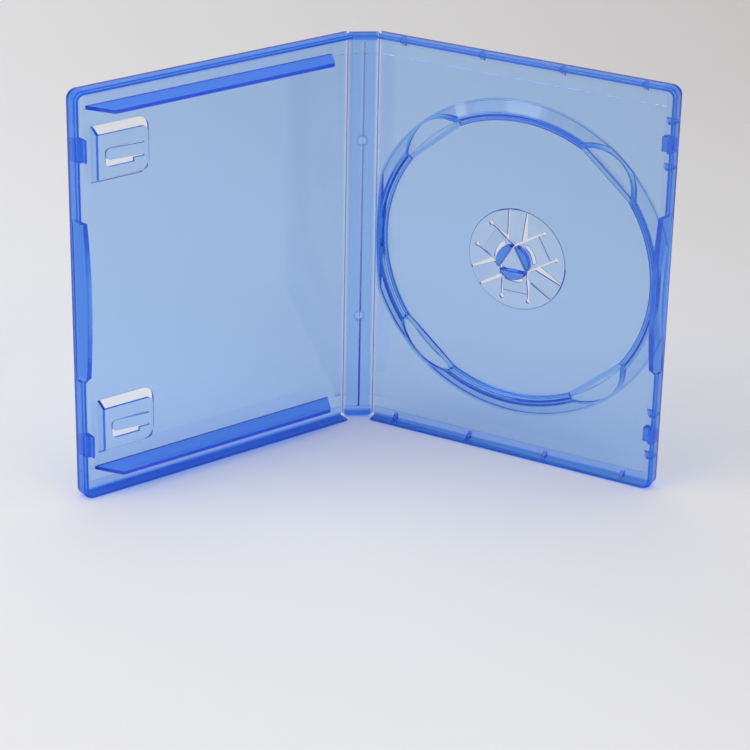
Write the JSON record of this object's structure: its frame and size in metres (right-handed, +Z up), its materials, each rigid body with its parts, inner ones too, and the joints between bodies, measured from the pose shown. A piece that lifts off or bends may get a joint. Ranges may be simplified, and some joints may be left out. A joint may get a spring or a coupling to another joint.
{
  "type": "game disc case",
  "caption": "Clear blue game disc case, standing half open on flexible hinges, with a scalloped disc tray, a sprung press-to-release hub, booklet clips and a clear film sleeve.",
  "frame": {"origin": "middle of the rear cover's bottom edge face, on the floor that the open case stands on", "axes": "+Z up along the hinges, +X along the rear cover from its hinge to its free edge, -Y out of the disc tray toward the inside of the case"},
  "size_m": [0.1973, 0.1291, 0.171],
  "materials": {
    "blue_plastic": "polished translucent polypropylene",
    "clear_film": "clear film"
  },
  "bodies": {
    "rear_cover": {"rear_cover": "blue_plastic", "sleeve_rear": "clear_film"},
    "spine": {"spine": "blue_plastic", "rear_hinge_web": "blue_plastic", "front_hinge_web": "blue_plastic", "sleeve_spine": "clear_film"},
    "front_cover": {"front_cover": "blue_plastic", "sleeve_front": "clear_film"},
    "hub_arm_lower": {"hub_arm_lower": "blue_plastic"},
    "hub_arm_right": {"hub_arm_right": "blue_plastic"},
    "hub_arm_left": {"hub_arm_left": "blue_plastic"},
    "hub_button": {"hub_button": "blue_plastic"}
  },
  "joints": [
    {"name": "rear_hinge", "type": "hinge", "parent": "rear_cover", "child": "spine", "pos_m": [-0.06565, 0.003, 0.0855], "axis": [0, 0, 1], "range_deg": [-32.65, 57.35], "deforming": ["rear_hinge_web"]},
    {"name": "front_hinge", "type": "hinge", "parent": "spine", "child": "front_cover", "pos_m": [-0.07676, -0.00412, 0.0855], "axis": [0, 0, 1], "range_deg": [-32.65, 57.35], "deforming": ["front_hinge_web"]},
    {"name": "hub_press", "type": "slide", "parent": "rear_cover", "child": "hub_button", "axis": [0, 1, 0], "range_m": [0, 0.0007], "stiffness_N_per_m": 500},
    {"name": "hub_arm_lower_flex", "type": "hinge", "parent": "rear_cover", "child": "hub_arm_lower", "pos_m": [-0.0007, 0.0022, 0.0714], "axis": [-1, 0, 0], "range_deg": [0, 3.9]},
    {"name": "hub_arm_right_flex", "type": "hinge", "parent": "rear_cover", "child": "hub_arm_right", "pos_m": [0.01151, 0.0022, 0.09255], "axis": [0.5, 0, -0.866], "range_deg": [0, 3.9]},
    {"name": "hub_arm_left_flex", "type": "hinge", "parent": "rear_cover", "child": "hub_arm_left", "pos_m": [-0.01291, 0.0022, 0.09255], "axis": [0.5, 0, 0.866], "range_deg": [0, 3.9]}
  ],
  "couplings": [
    {"joint": "hub_arm_lower_flex", "follows": "hub_press", "rad_per_m": 96.2},
    {"joint": "hub_arm_right_flex", "follows": "hub_press", "rad_per_m": 96.2},
    {"joint": "hub_arm_left_flex", "follows": "hub_press", "rad_per_m": 96.2}
  ]
}
